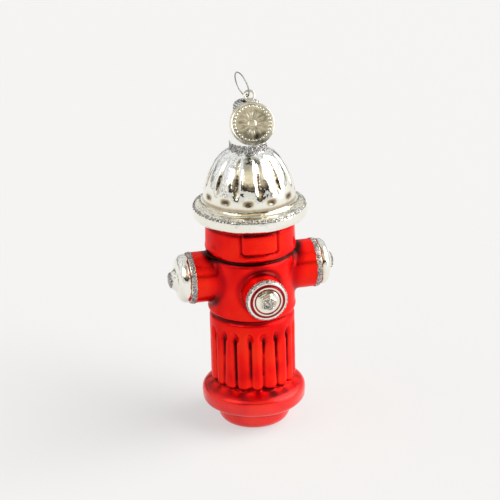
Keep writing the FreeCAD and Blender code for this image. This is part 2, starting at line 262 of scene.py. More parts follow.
def lobe_share(azimuth, count, first):
    """0 in the nearest groove, 1 half way to the next."""
    turn = (azimuth - first) * count / 360.0
    return np.abs(turn - np.round(turn)) * 2


def flute_cut(azimuth, z):
    """Depth of the barrel's grooves, with round-ended lobes between them and a hollow at each top."""
    wander = 1.1 * np.sin(azimuth * 0.21 + z * 0.09)
    share = lobe_share(azimuth + wander, FLUTES, FLUTE_AZIMUTH)
    end_length = 2.6
    round_end = 0.42 * np.clip((FLUTE_LOW + end_length - z) / end_length, 0, 1) ** 2
    inner = np.clip((share - round_end) / (1 - round_end), 0, 1)
    lobe = 0.65 * cusp(inner) + 0.35 * (1 - inner) ** 2
    fade = smooth_step(z, FLUTE_HIGH - 1.5, FLUTE_HIGH + 0.7)
    run = smooth_step(z, FLUTE_LOW - 0.4, FLUTE_LOW + 0.5) * (1 - fade)
    height = np.clip((z - FLUTE_LOW) / (FLUTE_HIGH - FLUTE_LOW), 0, 1)
    groove = FLUTE_DEPTH * (0.55 + 0.5 * height) * lobe * run
    hollow = np.clip(1 - (share / 0.8) ** 2 - ((z - FLUTE_HIGH + 1.2) / 2.9) ** 2, 0, 1)
    return np.maximum(groove, HOLLOW_DEPTH * hollow ** 1.4)


def dome_cut(azimuth, z, r):
    """Depth of the grooves between the dome's lobes, with a dimple at each lobe's foot."""
    share = lobe_share(azimuth, DOME_LOBES, 0.0)
    rounded = DOME_LOW + 1.5 * (1 - share) ** 3
    run = smooth_step(z, rounded, rounded + 4.5) * (1 - smooth_step(z, DOME_HIGH - 3.5, DOME_HIGH))
    groove = 0.2 * cusp(share) + 0.8 * (1 - share) ** 5
    across = np.radians((1 - share) * 180 / DOME_LOBES) * r
    dimple = DIMPLE_DEPTH * np.exp(-(across / 1.3) ** 2 - ((z - DOME_LOW - 1.2) / 0.75) ** 2)
    return LOBE_DEPTH * groove * run * np.clip(r / 15.0, 0.2, 1) + dimple


def panel_cut(azimuth, z):
    """A raised pane with a thin groove round it."""
    top = PANEL_HIGH + PANEL_TUCK
    across = np.abs(np.radians(azimuth - PANEL_AZIMUTH) * PANEL_R) - PANEL_HALF
    up = np.abs(z - (PANEL_LOW + top) / 2) - (top - PANEL_LOW) / 2
    corner = 1.8
    distance = (np.hypot(np.clip(across + corner, 0, None), np.clip(up + corner, 0, None))
                + np.minimum(np.maximum(across, up) + corner, 0) - corner)
    groove = 0.65 * np.exp(-(distance / 0.46) ** 2)
    pane = 0.16 * smooth_step(-distance, 0.2, 1.4)
    return (groove - pane) * (z < LACQUER_TOP - 0.5)


def wobble(x, y, z):
    """Slow unevenness of hand-blown glass."""
    return (0.07 * np.sin(0.23 * x + 0.8) * np.sin(0.27 * y + 1.9) * np.sin(0.17 * z + 0.3)
            + 0.035 * np.sin(0.61 * x + 0.4 * z) * np.sin(0.53 * y - 0.37 * z + 1.0))


body_form = Turned(BODY_OUTLINE)


def nozzle_outline(n):
    """Neck, rim, silver end and the foot of the nut, along the nozzle's own axis."""
    radius, edge, nut_r = n["radius"], n["edge"], n["nut_r"]
    reach = n["nut_end"] - edge
    if reach < SHORT_END:
        return [(0, NOZZLE_START), (radius, NOZZLE_START), (radius, edge - 0.3),
                (radius - 0.1, edge + 0.2, radius - 0.8, edge + 0.4),
                (radius - 1.2, edge + 0.1), (radius - 1.5, edge + 0.7), (radius - 2.1, edge + 0.8),
                (radius - 2.5, edge + 0.3), (radius - 2.9, edge + 0.8), (nut_r + 0.5, edge + 1.1),
                (nut_r * 0.5, edge + 1.2), (0, edge + 1.2)]
    return [(0, NOZZLE_START), (radius, NOZZLE_START), (radius, edge - 0.5),
            (radius - 0.2, edge + 0.1), (radius - 0.75, edge + 0.35),
            (radius - 0.3, edge + 0.8), (radius - 0.6, edge + 2.5, radius - 2.3, edge + 0.66 * reach),
            (radius - 2.9, edge + 0.7 * reach), (nut_r + 1.9, edge + 0.7 * reach),
            (nut_r + 0.6, edge + 0.85 * reach), (nut_r * 0.9, edge + 0.97 * reach),
            (nut_r * 0.4, edge + 0.98 * reach), (0, edge + 0.98 * reach)]


for nozzle in NOZZLES.values():
    nozzle["form"] = Turned(nozzle_outline(nozzle), sigma=0.28, cell=0.15)


def nozzle_distance(n, x, y, z):
    """Distance to one nozzle with its pentagonal nut."""
    side_x, side_y = -n["direction"][1], n["direction"][0]
    along = x * n["direction"][0] + y * n["direction"][1]
    across = x * side_x + y * side_y
    up = z - n["axis_z"]
    radial = np.hypot(across, up)
    turned = n["form"](radial, along)
    angle = np.arctan2(across, up) + NUT_TURN
    sector = 2 * math.pi / NUT_SIDES
    folded = np.abs((angle + sector / 2) % sector - sector / 2)
    apothem = n["nut_r"] * 0.9 - 0.9 * smooth_step(along, n["nut_end"] - 0.8, n["tip"] + 0.4)
    nut = np.maximum(radial * np.cos(folded) - apothem, along - n["tip"] + 0.12 + 0.12 * radial)
    nut = np.maximum(nut, n["edge"] - along)
    return soft_min(turned, nut, 0.7)


def glass_field(x, y, z):
    """Signed distance to the glass, negative inside."""
    r = np.hypot(x, y)
    azimuth = np.degrees(np.arctan2(x, -y))
    distance = body_form(r, z)
    distance = distance + np.where(z < BARREL_TOP, flute_cut(azimuth, z), 0)
    distance = distance + np.where(z > BRIM_TOP, dome_cut(azimuth, z, r), 0)
    low, high = PANEL_ZONE
    distance = distance + np.where((z > low) & (z < high), panel_cut(azimuth, z), 0)
    for n in NOZZLES.values():
        distance = soft_min(distance, nozzle_distance(n, x, y, z), NOZZLE_FILLET)
    bore = np.maximum(r - BORE_R, BORE_LOW - z)
    distance = np.maximum(distance, -bore)
    calm = 1 - smooth_step(z, 96, 99)
    return distance + wobble(x, y, z) * calm * smooth_step(z, 0, 2)


# Meshing ----------------------------------------------------------------------------
CORNERS = np.array([(i, j, k) for i in (0, 1) for j in (0, 1) for k in (0, 1)])
EDGES = [(a, b) for a in range(8) for b in range(a + 1, 8) if np.abs(CORNERS[a] - CORNERS[b]).sum() == 1]


def surface_net(field, low, high, step):
    """Vertices and quads of the field's zero surface, one vertex per crossed cell."""
    low = np.array(low, float)
    counts = np.ceil((np.array(high) - low) / step).astype(int) + 1
    axis_x, axis_y, axis_z = (low[k] + step * np.arange(counts[k]) for k in range(3))
    y, z = np.meshgrid(axis_y, axis_z, indexing="ij")
    values = np.stack([field(np.full(y.shape, x), y, z) for x in axis_x])
    inside = values < 0
    cells = tuple(counts - 1)

    def corner(block, offset):
        return block[tuple(slice(o, o + n) for o, n in zip(offset, cells))]

    total = sum(corner(inside, c).astype(np.int8) for c in CORNERS)
    mixed = (total > 0) & (total < 8)
    place = np.argwhere(mixed)
    index = np.full(cells, -1)
    index[mixed] = np.arange(len(place))
    at_corner = np.stack([corner(values, c)[mixed] for c in CORNERS])
    sums = np.zeros((len(place), 3))
    hits = np.zeros(len(place))
    for a, b in EDGES:
        crossed = (at_corner[a] < 0) != (at_corner[b] < 0)
        share = np.where(crossed, at_corner[a] / (at_corner[a] - at_corner[b] + 1e-12), 0)
        sums += crossed[:, None] * (CORNERS[a] + share[:, None] * (CORNERS[b] - CORNERS[a]))
        hits += crossed
    points = low + step * (place + sums / hits[:, None])
    quads = []
    for a in range(3):
        b, c = (a + 1) % 3, (a + 2) % 3
        lower = np.take(inside, range(counts[a] - 1), a)
        upper = np.take(inside, range(1, counts[a]), a)
        at = np.argwhere(lower != upper)
        at = at[(at[:, b] > 0) & (at[:, c] > 0) & (at[:, b] < cells[b]) & (at[:, c] < cells[c])]
        back_b, back_c = np.zeros(3, int), np.zeros(3, int)
        back_b[b] = 1
        back_c[c] = 1
        steps_back = (back_b + back_c, back_c, 0 * back_b, back_b)
        ring = np.stack([index[tuple((at - step_back).T)] for step_back in steps_back], 1)
        solid_below = lower[tuple(at.T)]
        quads.append(np.where(solid_below[:, None], ring, ring[:, ::-1]))
    return points, np.concatenate(quads)


def gradient(field, points, reach=0.12):
    slopes = []
    for axis in np.eye(3) * reach:
        slopes.append(field(*(points + axis).T) - field(*(points - axis).T))
    return np.stack(slopes, 1) / (2 * reach)


def settle(field, points, rounds=3):
    """Moves the points on to the field's zero surface; gives them and their normals."""
    for _ in range(rounds):
        slope = gradient(field, points)
        move = field(*points.T) / np.maximum((slope ** 2).sum(1), 0.2)
        points = points - slope * np.clip(move, -0.25, 0.25)[:, None]
    slope = gradient(field, points)
    return points, slope / np.linalg.norm(slope, axis=1)[:, None]


def crease_depth(field, points, normals):
    """How enclosed each point is: 0 in the open, 1 deep in a groove or corner. The paint is darkened by it
    as painted shade.
    """
    found = np.zeros(len(points))
    for reach, weight in ((0.7, 0.35), (1.6, 0.3), (3.2, 0.2), (5.5, 0.15)):
        found += weight * (1 - field(*(points + normals * reach).T) / reach)
    return np.clip(found, 0, 1)


def bell(offset, width, power=2):
    """1 where there is no offset, falling smoothly to 0 beyond the width."""
    return np.exp(-(offset / width) ** power)


def barrel_shade(r, azimuth, z):
    """Painted shade at the flutes' upper ends, on top of the flange under the lobes and in the left of the
    waist's groove.
    """
    share = lobe_share(azimuth, FLUTES, FLUTE_AZIMUTH)
    flute_ends = 0.24 * bell(share, 0.5) * bell(z - FLUTE_HIGH + 1.6, 2.0)
    flange_top = 0.26 * bell(z - 14.2, 1.3) * bell(r - 15.8, 1.6)
    waist = 0.25 * bell(z - 40.4, 0.7) * smooth_step(-azimuth, -20, 40)
    return flute_ends + flange_top + waist


def root_shade(points, r):
    """Painted shade where the nozzles grow out of the barrel."""
    dark = np.zeros(len(points))
    for n in NOZZLES.values():
        along = points @ n["direction"]
        away = np.hypot(np.sqrt(np.clip(r ** 2 - along ** 2, 0, None)), points[:, 2] - n["axis_z"])
        root = bell(np.clip(away - n["radius"] - 0.6, 0, None), 1.1)
        dark += 0.15 * root * smooth_step(along, 6, 9) * (1 - smooth_step(along, 14, 18))
    return dark


def dome_shade(r, azimuth, z):
    """Painted shade in the dome's grooves, in its dimples and along its foot."""
    lobe = lobe_share(azimuth, DOME_LOBES, 0.0)
    across = np.radians((1 - lobe) * 180 / DOME_LOBES) * r
    fade = smooth_step(z, DOME_HIGH - 5, DOME_HIGH - 2)
    run = smooth_step(z, DOME_LOW + 1.5, DOME_LOW + 3.5) * (1 - fade)
    grooves = 0.45 * bell(lobe, 0.11) * run
    dimples = 0.6 * bell(across, 1.8, 4) * bell(z - DOME_LOW - 1.3, 0.95, 4)
    foot = 0.5 * bell(z - DOME_LOW + 1.0, 0.4) + 0.15 * bell(z - DOME_LOW + 2.2, 0.9)
    return grooves + dimples + foot


def painted_hollow_shade(points):
    """Extra painted shade in the hollows, at the nozzle roots and on the dome. The upper dome gets less of
    it, so it stays lighter.
    """
    x, y, z = points.T
    r = np.hypot(x, y)
    azimuth = np.degrees(np.arctan2(x, -y))
    left = barrel_shade(r, azimuth, z) + root_shade(points, r) + dome_shade(r, azimuth, z)
    return left - 0.35 * smooth_step(z, 89, 93)


def evened(values, quads, rounds=2):
    """Values at the vertices, averaged over the quads round each of them."""
    shares = np.bincount(quads.ravel(), minlength=len(values))
    for _ in range(rounds):
        around = np.repeat(values[quads].mean(1), 4)
        values = np.bincount(quads.ravel(), weights=around, minlength=len(values)) / np.maximum(shares, 1)
    return values


# Blender pieces ---------------------------------------------------------------------
def add_piece(name, points, faces, body, material):
    """A smooth-shaded mesh piece from points in millimetres."""
    mesh = bpy.data.meshes.new(name)
    mesh.from_pydata((np.asarray(points) * MM).tolist(), [], [list(map(int, face)) for face in faces])
    mesh.validate()
    mesh.polygons.foreach_set("use_smooth", np.ones(len(mesh.polygons), bool))
    piece = bpy.data.objects.new(name, mesh)
    bpy.context.scene.collection.objects.link(piece)
    mesh.materials.append(material)
    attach(piece, body)
    return piece


def add_values(piece, name, values):
    attribute = piece.data.attributes.new(name, "FLOAT", "POINT")
    attribute.data.foreach_set("value", np.asarray(values, np.float32))


def cut_planes():
    """Planes where the paint changes: under the brim and at the start of each nozzle's band."""
    planes = [(np.array([0, 0, LACQUER_TOP]), np.array([0, 0, 1.0]))]
    for n in NOZZLES.values():
        planes.append((n["direction"] * n["band_start"], n["direction"]))
    return planes


def painted_glass(red, silver):
    """The glass, meshed as one surface and split into the red coat and the silver parts."""
    low, high = span("glass_shell")
    points, quads = surface_net(glass_field, low - 1.2, high + 1.2, NET_STEP)
    points, normals = settle(glass_field, points)
    # painted shade: darker where a point is enclosed, in the hollows and at the nozzle roots; in the
    # grooves it also stands for the dark antiquing
    shade_and_antique_values = evened(crease_depth(glass_field, points, normals) + painted_hollow_shade(points), quads)
    mesh = bpy.data.meshes.new("whole_glass")
    mesh.from_pydata((points * MM).tolist(), [], quads.tolist())
    work = bmesh.new()
    work.from_mesh(mesh)
    layer = work.verts.layers.float.new("shade_and_antique")
    for vertex, value in zip(work.verts, shade_and_antique_values):
        vertex[layer] = value
    for place, normal in cut_planes():
        bmesh.ops.bisect_plane(work, geom=work.verts[:] + work.edges[:] + work.faces[:], dist=1e-6,
                               plane_co=Vector(place * MM), plane_no=Vector(normal))
    red_faces = []
    for face in work.faces:
        centre = np.array(face.calc_center_median()) / MM
        if all((centre - place) @ normal < 0 for place, normal in cut_planes()):
            red_faces.append(face)
        face.smooth = True
    for name, keep_red, slot, material in (("red_lacquer_coat", True, "red_lacquer", red),
                                           ("silvered_glass", False, "silvered_glass", silver)):
        part = work.copy()
        chosen = set(face.index for face in red_faces)
        part.faces.ensure_lookup_table()
        drop = [face for face in part.faces if (face.index in chosen) != keep_red]
        bmesh.ops.delete(part, geom=drop, context="FACES")
        mesh = bpy.data.meshes.new(name)
        part.to_mesh(mesh)
        part.free()
        piece = bpy.data.objects.new(name, mesh)
        bpy.context.scene.collection.objects.link(piece)
        mesh.materials.append(material)
        wall = piece.modifiers.new("wall", "SOLIDIFY")
        wall.thickness = (COAT_WALL if keep_red else GLASS_WALL) * MM
        wall.offset = -1
        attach(piece, "glass")
    work.free()
    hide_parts("red_lacquer")
    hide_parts("glass_shell")
    return points, normals, quads


# Materials --------------------------------------------------------------------------
def new_material(name, metallic, roughness):
    material = bpy.data.materials.new(name)
    material.use_nodes = True
    shader = material.node_tree.nodes["Principled BSDF"]
    shader.inputs["Metallic"].default_value = metallic
    shader.inputs["Roughness"].default_value = roughness
    return material, material.node_tree, shader


def add_node(tree, kind, **values):
    node = tree.nodes.new(kind)
    for key, value in values.items():
        if hasattr(node, key):
            setattr(node, key, value)
        else:
            node.inputs[key.replace("_", " ")].default_value = value
    return node


def noise(tree, scale, detail=3.0):
    """Noise in the object's own space; scale is in features per metre."""
    place = tree.nodes.new("ShaderNodeTexCoord")
    texture = add_node(tree, "ShaderNodeTexNoise", Scale=scale, Detail=detail)
    tree.links.new(place.outputs["Object"], texture.inputs["Vector"])
    return texture.outputs["Fac"]


def ramp(tree, factor, stops):
    """Colour ramp; stops are (position, (r, g, b))."""
    node = tree.nodes.new("ShaderNodeValToRGB")
    band = node.color_ramp
    while len(band.elements) < len(stops):
        band.elements.new(0.5)
    for element, (position, colour) in zip(band.elements, stops):
        element.position = position
        element.color = (*colour, 1)
    tree.links.new(factor, node.inputs["Fac"])
    return node.outputs["Color"]


def mix(tree, below, factor, above):
    """The colour below, covered by the colour above as far as the factor says."""
    node = add_node(tree, "ShaderNodeMix", data_type="RGBA")
    tree.links.new(factor, node.inputs[MIX_FACTOR])
    tree.links.new(below, node.inputs[MIX_BELOW])
    if isinstance(above, tuple):
        node.inputs[MIX_ABOVE].default_value = (*above, 1)
    else:
        tree.links.new(above, node.inputs[MIX_ABOVE])
    return node.outputs[MIX_RESULT]


def math_node(tree, operation, a, b):
    node = add_node(tree, "ShaderNodeMath", operation=operation)
    for socket, value in zip(node.inputs, (a, b)):
        if isinstance(value, (int, float)):
            socket.default_value = value
        else:
            tree.links.new(value, socket)
    return node.outputs[0]


def bump(tree, shader, height, distance, strength=1.0):
    node = add_node(tree, "ShaderNodeBump", Strength=strength, Distance=distance)
    tree.links.new(height, node.inputs["Height"])
    tree.links.new(node.outputs["Normal"], shader.inputs["Normal"])


def height_above_floor(tree):
    place = tree.nodes.new("ShaderNodeTexCoord")
    split = tree.nodes.new("ShaderNodeSeparateXYZ")
    tree.links.new(place.outputs["Object"], split.inputs[0])
    return split.outputs["Z"]


def red_material():
    """Translucent metallic red over silver, darkened by painted shade and dark antiquing in the hollows,
    with a hazy coat on the foot.
    """
    material, tree, shader = new_material("red_lacquer", 0.65, 0.2)
    shade_and_antique = add_node(tree, "ShaderNodeAttribute", attribute_name="shade_and_antique").outputs["Fac"]
    patch = math_node(tree, "MULTIPLY", math_node(tree, "SUBTRACT", noise(tree, 90, 1.5), 0.5), 0.55)
    darkening = math_node(tree, "ADD", shade_and_antique, patch)
    # the red darkens to near black with the painted shade and the antiquing
    colour = ramp(tree, darkening, [(0.0, (1.0, 0.03, 0.01)), (0.12, (1.0, 0.01, 0.006)),
                               (0.25, (0.66, 0.0, 0.004)), (0.4, (0.18, 0.0, 0.003)),
                               (0.57, (0.012, 0.0, 0.001))])
    tree.links.new(colour, shader.inputs["Base Color"])
    shader.inputs["Specular Tint"].default_value = (1.0, 0.12, 0.06, 1)
    shader.inputs["Specular IOR Level"].default_value = 0.9
    rough = ramp(tree, noise(tree, 130), [(0.3, (0.13, 0.13, 0.13)), (0.7, (0.26, 0.26, 0.26))])
    tree.links.new(rough, shader.inputs["Roughness"])
    coat = add_node(tree, "ShaderNodeMapRange", From_Min=0.011, From_Max=0.0145, To_Min=1.0, To_Max=0.06)
    tree.links.new(height_above_floor(tree), coat.inputs["Value"])
    tree.links.new(coat.outputs["Result"], shader.inputs["Coat Weight"])
    shader.inputs["Coat Roughness"].default_value = 0.25
    bump(tree, shader, noise(tree, 130, 2), 0.0008, 0.45)
    return material


def nozzle_place(tree, n):
    """Distance from a nozzle's axis and along it, both in metres, at the shaded point."""
    place = tree.nodes.new("ShaderNodeTexCoord")
    offset = add_node(tree, "ShaderNodeVectorMath", operation="SUBTRACT")
    tree.links.new(place.outputs["Object"], offset.inputs[0])
    offset.inputs[1].default_value = (0, 0, n["axis_z"] * MM)
    along = add_node(tree, "ShaderNodeVectorMath", operation="DOT_PRODUCT")
    tree.links.new(offset.outputs[0], along.inputs[0])
    along.inputs[1].default_value = n["direction"]
    across = add_node(tree, "ShaderNodeVectorMath", operation="CROSS_PRODUCT")
    tree.links.new(offset.outputs[0], across.inputs[0])
    across.inputs[1].default_value = n["direction"]
    length = add_node(tree, "ShaderNodeVectorMath", operation="LENGTH")
    tree.links.new(across.outputs[0], length.inputs[0])
    return length.outputs["Value"], along.outputs["Value"]


def stripe(tree, value, low, high, soft=0.08):
    """1 where value lies between low and high millimetres, 0 elsewhere."""
    rise = add_node(tree, "ShaderNodeMapRange", From_Min=(low - soft) * MM, From_Max=(low + soft) * MM)
    fall = add_node(tree, "ShaderNodeMapRange", From_Min=(high - soft) * MM, From_Max=(high + soft) * MM)
    for node in (rise, fall):
        tree.links.new(value, node.inputs["Value"])
    return math_node(tree, "SUBTRACT", rise.outputs["Result"], fall.outputs["Result"])


def red_rings(tree):
    """Where dark red lacquer lies on the nozzle ends: two rings in front, a ragged line at the sides."""
    total = None
    for name, n in NOZZLES.items():
        across, along = nozzle_place(tree, n)
        ragged = math_node(tree, "MULTIPLY", math_node(tree, "SUBTRACT", noise(tree, 350, 2), 0.5), 0.0016)
        if name == "front":
            near = stripe(tree, along, n["edge"] - 1.5, n["edge"] + 5)
            outer = stripe(tree, across, n["radius"] - 1.75, n["radius"] - 0.8)
            inner = stripe(tree, across, n["radius"] - 2.75, n["radius"] - 2.25)
            rings = math_node(tree, "MULTIPLY", math_node(tree, "ADD", outer, inner), near)
        else:
            rings = stripe(tree, math_node(tree, "ADD", along, ragged), n["edge"] + 0.2, n["edge"] + 0.6)
        total = rings if total is None else math_node(tree, "MAXIMUM", total, rings)
    return total


def silver_material():
    """Mirror silvering seen through clear glass, with painted shade in the hollows that turns it
    yellow-brown, then near black.
    """
    material, tree, shader = new_material("silvered_glass", 1.0, 0.05)
    shade_and_antique = add_node(tree, "ShaderNodeAttribute", attribute_name="shade_and_antique").outputs["Fac"]
    darkening = math_node(tree, "ADD", shade_and_antique, math_node(tree, "MULTIPLY", noise(tree, 300), 0.14))
    # the silver turns yellow-brown, then near black, with the painted shade
    colour = ramp(tree, darkening, [(0.06, (0.95, 0.96, 0.94)), (0.28, (0.86, 0.82, 0.68)),
                               (0.46, (0.5, 0.42, 0.3)), (0.7, (0.1, 0.07, 0.05))])
    painted = mix(tree, colour, red_rings(tree), (0.3, 0.0, 0.008))
    tree.links.new(painted, shader.inputs["Base Color"])
    rough = ramp(tree, noise(tree, 500), [(0.35, (0.03, 0.03, 0.03)), (0.75, (0.09, 0.09, 0.09))])
    tree.links.new(rough, shader.inputs["Roughness"])
    shader.inputs["Coat Weight"].default_value = 0.3
    shader.inputs["Coat Roughness"].default_value = 0.02
    bump(tree, shader, noise(tree, 230, 2), 0.0009, 0.35)
    return material


def glitter_material():
    """Each grain has its own shade, from dark grey to bright silver with some colour."""
    material, tree, shader = new_material("glitter", 1.0, 0.25)
    grain = add_node(tree, "ShaderNodeAttribute", attribute_name="grain").outputs["Fac"]
    colour = ramp(tree, grain, [(0.0, (0.05, 0.05, 0.05)), (0.2, (0.25, 0.25, 0.24)),
                                (0.45, (0.55, 0.55, 0.54)), (0.6, (0.42, 0.3, 0.46)),
                                (0.7, (0.26, 0.46, 0.38)), (0.8, (0.7, 0.5, 0.3)),
                                (0.88, (0.8, 0.8, 0.78)), (1.0, (0.98, 0.98, 0.98))])
    tree.links.new(colour, shader.inputs["Base Color"])
    rough = ramp(tree, grain, [(0.0, (0.15, 0.15, 0.15)), (1.0, (0.4, 0.4, 0.4))])
    tree.links.new(rough, shader.inputs["Roughness"])
    return material


def metal_material(name, colour, roughness, scratch=1400):
    """Plain metal with fine wear and a little tarnishing, darker where the piece's painted_shade value is
    high.
    """
    material, tree, shader = new_material(name, 1.0, roughness)
    darker = tuple(0.7 * c for c in colour)
    painted_shade = add_node(tree, "ShaderNodeAttribute", attribute_name="painted_shade").outputs["Fac"]
    # random tarnishing, darkened further by the piece's painted shade
    tarnish_and_shade = math_node(tree, "SUBTRACT", noise(tree, 420, 5), math_node(tree, "MULTIPLY", painted_shade, 0.5))
    tree.links.new(ramp(tree, tarnish_and_shade, [(0.0, (0.05, 0.05, 0.045)), (0.26, darker), (0.48, colour)]),
                   shader.inputs["Base Color"])
    rough = ramp(tree, noise(tree, scratch), [(0.3, (roughness * 0.7,) * 3), (0.8, (roughness * 1.6,) * 3)])
    tree.links.new(rough, shader.inputs["Roughness"])
    bump(tree, shader, noise(tree, scratch, 2), 0.0001, 0.2)
    return material


# Glitter ----------------------------------------------------------------------------
def pick_on_faces(points, normals, quads, chosen, spacing, rng):
    """Random places on the chosen quads, one per spacing squared."""
    faces = quads[chosen]
    a, b, c, d = (points[faces[:, k]] for k in range(4))
    area = (np.linalg.norm(np.cross(b - a, c - a), axis=1)
            + np.linalg.norm(np.cross(c - a, d - a), axis=1)) / 2
    count = int(area.sum() / spacing ** 2)
    face = rng.choice(len(faces), count, p=area / area.sum())
    u, v = rng.random((2, count, 1))
    place = (a[face] * (1 - u) + b[face] * u) * (1 - v) + (d[face] * (1 - u) + c[face] * u) * v
    facing = normals[faces[face]].mean(1)
    return place, facing / np.linalg.norm(facing, axis=1)[:, None]


def grains(name, places, facings, size, rng, material):
    """Hexagonal flakes lying unevenly on the glue."""
    count = len(places)
    tilt = facings + rng.normal(0, GRAIN_TILT, (count, 3))
    tilt /= np.linalg.norm(tilt, axis=1)[:, None]
    side = np.cross(tilt, rng.normal(0, 1, (count, 3)))
    side /= np.linalg.norm(side, axis=1)[:, None]
    other = np.cross(tilt, side)
    radius = size * rng.uniform(0.32, 0.62, (count, 1))
    lift = facings * rng.uniform(0.02, 0.3, (count, 1)) * size
    rings = []
    for half in (-0.5, 0.5):
        for k in range(6):
            angle = math.pi * k / 3
            rings.append(places + lift + radius * (math.cos(angle) * side + math.sin(angle) * other)
                         + tilt * half * size * GRAIN_THICKNESS)
    points = np.stack(rings, 1).reshape(-1, 3)
    start = 12 * np.arange(count)[:, None]
    hexagons = np.concatenate([start + np.arange(5, -1, -1), start + np.arange(6, 12)]).tolist()
    sides = np.concatenate([start + np.array([k, (k + 1) % 6, 6 + (k + 1) % 6, 6 + k]) for k in range(6)])
    mesh = bpy.data.meshes.new(name)
    mesh.from_pydata((points * MM).tolist(), [], hexagons + sides.tolist())
    mesh.materials.append(material)
    piece = bpy.data.objects.new(name, mesh)
    bpy.context.scene.collection.objects.link(piece)
    add_values(piece, "grain", np.repeat(rng.random(count), 12))
    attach(piece, "glass")
    return piece


def glitter_bands(points, normals, quads, material):
    """Grains on the brim, the neck, the nozzle rims and the nut ends."""
    rng = np.random.default_rng(SEED)
    centre = points[quads].mean(1)
    x, y, z = centre.T
    r = np.hypot(x, y)
    ragged = 0.14 * np.sin(x * 3.1) * np.sin(y * 2.7)
    low, high = BRIM_BAND_Z
    on_brim = (z > low - 0.1 + ragged) & (z < high - 0.35 + ragged) & (r > BRIM_R - 1.5 + ragged)
    low, high = NECK_BAND_Z
    at_neck_height = (z > low + 0.5 + ragged) & (z < high + ragged)
    zones = {"brim_glitter_band": on_brim,
             "neck_glitter_band": at_neck_height & (r < NECK_R + 1.4) & (r > NECK_R - 1)}
    for name, n in NOZZLES.items():
        along = centre @ n["direction"]
        radial = np.sqrt(np.clip((centre ** 2).sum(1) - along ** 2
                                 - 2 * n["axis_z"] * z + n["axis_z"] ** 2, 0, None))
        at_rim = (along > n["band_start"] + ragged) & (along < n["edge"] + 0.1)
        zones[name + "_nozzle_glitter_band"] = at_rim & (radial > n["radius"] - 0.75 + ragged)
        zones[name + "_nut_glitter"] = (along > n["nut_end"] - 0.1) & (radial < n["nut_r"] + 0.5)
    for node, chosen in zones.items():
        places, facings = pick_on_faces(points, normals, quads, chosen, GRAIN_SPACING, rng)
        piece = grains(node + "_grains", places, facings, GRAIN_SIZE, rng, material)
        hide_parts(node)


# Hardware ---------------------------------------------------------------------------
def grid_faces(rows, columns, closed=True):
    """Quads of a grid of points, closed round the columns."""
    faces = []
    last = columns if closed else columns - 1
    for i in range(rows - 1):
        for j in range(last):
            k = (j + 1) % columns
            faces.append((i * columns + j, i * columns + k, (i + 1) * columns + k, (i + 1) * columns + j))
    return faces


def stamped_cap(material):
    """Thin cap with a rolled edge, a plain skirt and a pebbled shoulder."""
    shoulder = 1.8
    outline = outline_points([
        (CAP_R - 0.12, CAP_LOW), (CAP_R, CAP_LOW + 0.25), (CAP_R, CAP_TOP - shoulder),
        (CAP_R - 0.3 * shoulder, CAP_TOP - 0.3 * shoulder, CAP_R - shoulder, CAP_TOP),
        (1.35, CAP_TOP - 0.05), (1.2, CAP_TOP - 0.2)])
    line = softened(outline, 0.12, 0.1)[2:-2]
    slope = np.gradient(line, axis=0)
    slope /= np.linalg.norm(slope, axis=1)[:, None]
    out_r, out_z = slope[:, 1], -slope[:, 0]
    travel = np.concatenate([[0], np.cumsum(np.linalg.norm(np.diff(line, axis=0), axis=1))])
    turn = 2 * math.pi * np.arange(CAP_COLUMNS) / CAP_COLUMNS
    rows, painted_shade = [], []
    for (r, z), normal_r, normal_z, s in zip(line, out_r, out_z, travel):
        raised = pebbles(s, turn, max(r, 1.0))
        # painted shade on the ground between the pebbles, on the shoulder only
        painted_shade.append((s > SKIRT) * (1 - raised / PEBBLE_HEIGHT))
        raised = raised - PEBBLE_SINK * smooth_step(s, SKIRT - 0.3, SKIRT + 0.3)
        wide = r + raised * normal_r
        rows.append(np.stack([wide * np.cos(turn), wide * np.sin(turn), z + raised * normal_z], 1))
    faces = grid_faces(len(rows), CAP_COLUMNS)
    piece = add_piece("stamped_cap", np.concatenate(rows), faces, "cap", material)
    add_values(piece, "painted_shade", np.concatenate(painted_shade))
    wall = piece.modifiers.new("sheet", "SOLIDIFY")
    wall.thickness = CAP_SHEET * MM
    wall.offset = -1
    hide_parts("hanger_cap")


def pebbles(s, turn, r):
    """Height of the stamped pattern at s along the outline: a rolled edge, then rows of pebbles."""
    first_row, row_step, pebble_step = 4.2, 0.95, 1.15
    even_rows, even_count = 4, 25
    height = np.zeros(len(turn))
    if s < 1.0:
        height += 0.1 * math.exp(-((s - 0.4) / 0.25) ** 2)
    for row in range(PEBBLE_ROWS):
        centre = first_row + row_step * row
        fitting = max(int(round(2 * math.pi * r / pebble_step)), 6)
        count = even_count if row < even_rows else fitting
        phase = (turn * count / (2 * math.pi) + 0.5 * (row % 2)) % 1.0 - 0.5
        across = phase * 2 * math.pi * r / count
        away = (across / PEBBLE_R) ** 2 + ((s - centre) / PEBBLE_R) ** 2
        height += PEBBLE_HEIGHT * np.sqrt(np.clip(1 - away, 0, 1))
    return height


def tag_axes():
    """Eyelet centre, face direction and downward direction of the tag, from its joint and box."""
    joint = next(j for j in frame["joints"] if j["child"] == "tag")
    eyelet = np.array(joint["pos_m"]) / MM
    normal = np.array(joint["axis"]) / np.linalg.norm(joint["axis"])
    eyelet_zone = 6
    places = np.array([v.co for v in frame["nodes"]["medallion"].data.vertices]) / MM
    centre = places[np.linalg.norm(places - eyelet, axis=1) > eyelet_zone].mean(0)
    down = centre - eyelet
    down -= normal * (down @ normal)
    return eyelet, normal, down / np.linalg.norm(down)


